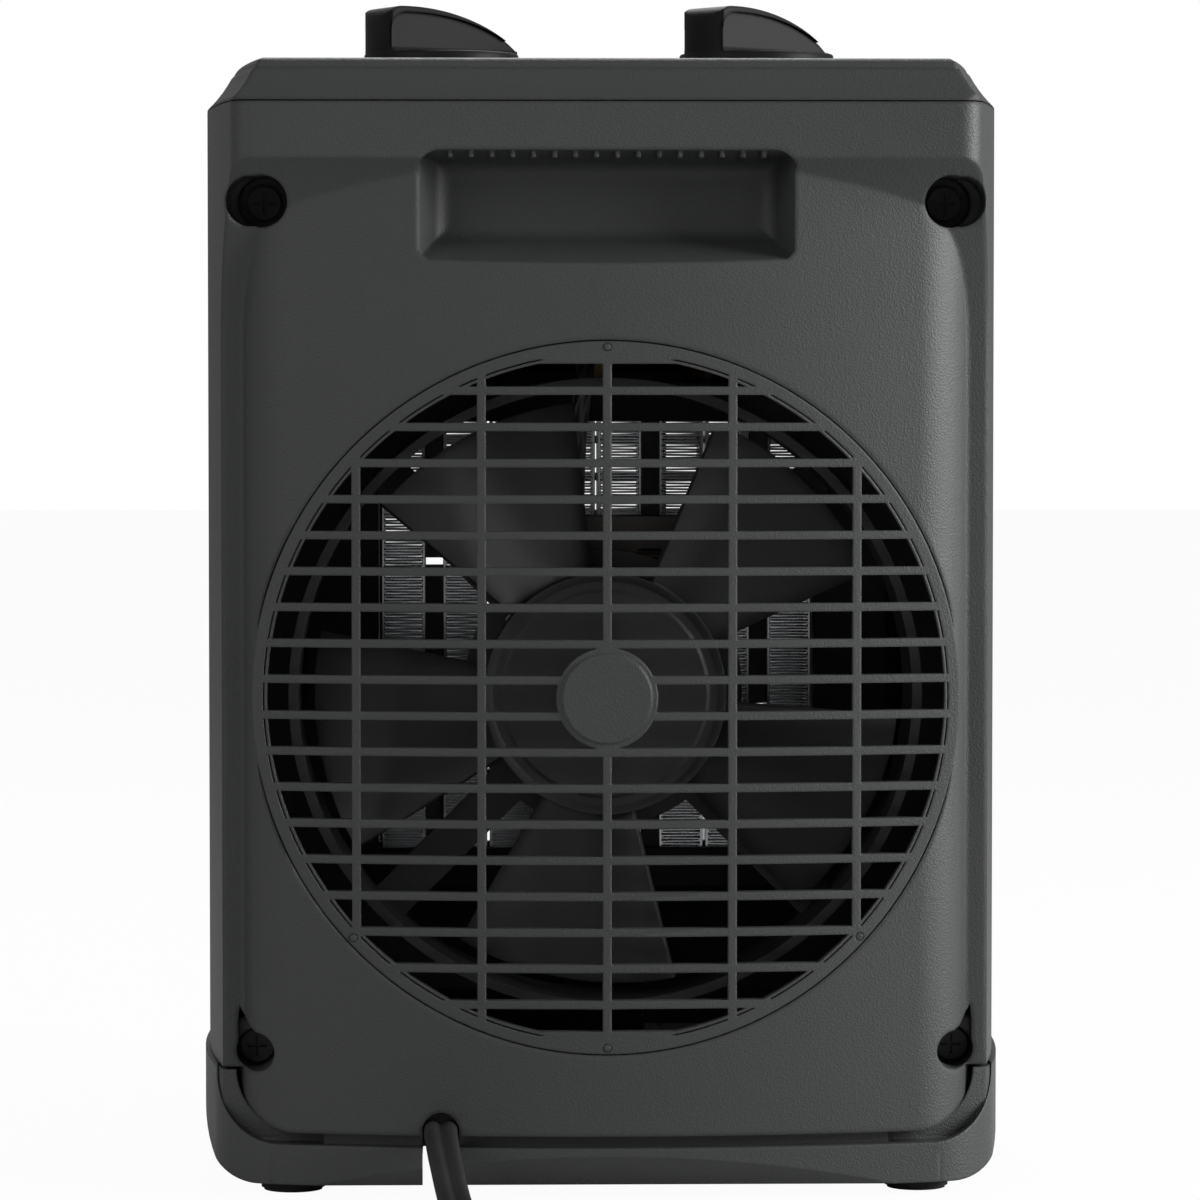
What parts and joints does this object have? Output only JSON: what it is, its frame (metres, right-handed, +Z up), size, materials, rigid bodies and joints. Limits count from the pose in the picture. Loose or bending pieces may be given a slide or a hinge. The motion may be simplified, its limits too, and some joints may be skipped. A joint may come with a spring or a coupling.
{
  "type": "personal fan heater",
  "caption": "Compact moulded fan heater with a round intake grille and cord notch at the back, two knobs on top and a coiled two-core cord.",
  "frame": {"origin": "middle of the table face under the heater, at the height of the feet", "axes": "+X across the heater, to the right seen from the front outlet; +Y from the outlet at the front to the intake grille at the back; +Z up"},
  "size_m": [0.184, 0.3518, 0.2619],
  "materials": {
    "charcoal_plastic": "fine moulded texture",
    "knob_plastic": "satin",
    "black_plastic": "moulded",
    "white_plastic": "moulded",
    "brown_plastic": "phenolic",
    "ceramic": "unglazed ceramic",
    "black_rubber": "moulded",
    "black_cord": "smooth vinyl",
    "braided_sleeve": "braided glass sleeve",
    "plated_steel": "zinc plated",
    "dark_steel": "black oxide",
    "bright_aluminium": "bright sheet",
    "cast_alloy": "die cast",
    "brass": "stamped",
    "bronze": "sintered",
    "copper_winding": "enamelled wire under tape"
  },
  "bodies": {
    "case": {"base": "charcoal_plastic", "rubber_feet": "black_rubber", "front_shell": "charcoal_plastic", "rear_shell": "charcoal_plastic", "top_cover": "charcoal_plastic", "rear_grille": "charcoal_plastic", "grille_pins": "charcoal_plastic", "front_grille": "charcoal_plastic", "case_screws": "dark_steel", "base_screws": "plated_steel", "thermostat_body": "ceramic", "rotary_switch": "black_plastic", "control_screws": "plated_steel", "shaft_bushes": "bronze", "motor_stator": "plated_steel", "motor_coil": "copper_winding", "rear_bracket": "cast_alloy", "front_bracket": "cast_alloy", "motor_screws": "plated_steel", "fan_duct": "black_plastic", "duct_screws": "plated_steel", "element_frame": "black_plastic", "element_fins": "bright_aluminium", "element_stones": "ceramic", "element_terminals": "brass", "element_screws": "plated_steel", "thermal_cutout": "brown_plastic", "tip_spring": "plated_steel", "tip_bracket": "plated_steel", "tip_switch": "black_plastic", "terminal_block": "white_plastic", "internal_leads": "black_cord", "sleeved_lead": "braided_sleeve", "strain_relief": "black_cord", "cord": "black_cord", "cord_coil": "black_cord", "cord_tail": "black_cord", "plug": "black_cord", "plug_blades": "brass", "cord_tie": "black_cord"},
    "fan": {"fan_blade": "black_plastic", "motor_shaft": "plated_steel", "rotor": "plated_steel"},
    "thermostat": {"thermostat_knob": "knob_plastic", "thermostat_shaft": "plated_steel"},
    "mode": {"mode_knob": "knob_plastic", "mode_shaft": "white_plastic"},
    "plunger": {"tip_plunger": "white_plastic"}
  },
  "joints": [
    {"name": "fan_spin", "type": "hinge", "parent": "case", "child": "fan", "pos_m": [0, 0.05, 0.1088], "axis": [0, 1, 0], "continuous": true},
    {"name": "thermostat_turn", "type": "hinge", "parent": "case", "child": "thermostat", "pos_m": [0.036, 0, 0.25], "axis": [0, 0, -1], "range_deg": [0, 270]},
    {"name": "mode_turn", "type": "hinge", "parent": "case", "child": "mode", "pos_m": [-0.036, 0, 0.25], "axis": [0, 0, -1], "range_deg": [0, 180]},
    {"name": "tip_plunger_slide", "type": "slide", "parent": "case", "child": "plunger", "axis": [0, 0, -1], "range_m": [0, 0.004], "stiffness_N_per_m": 60, "springref_m": 0.006, "deforming": ["tip_spring"]}
  ]
}
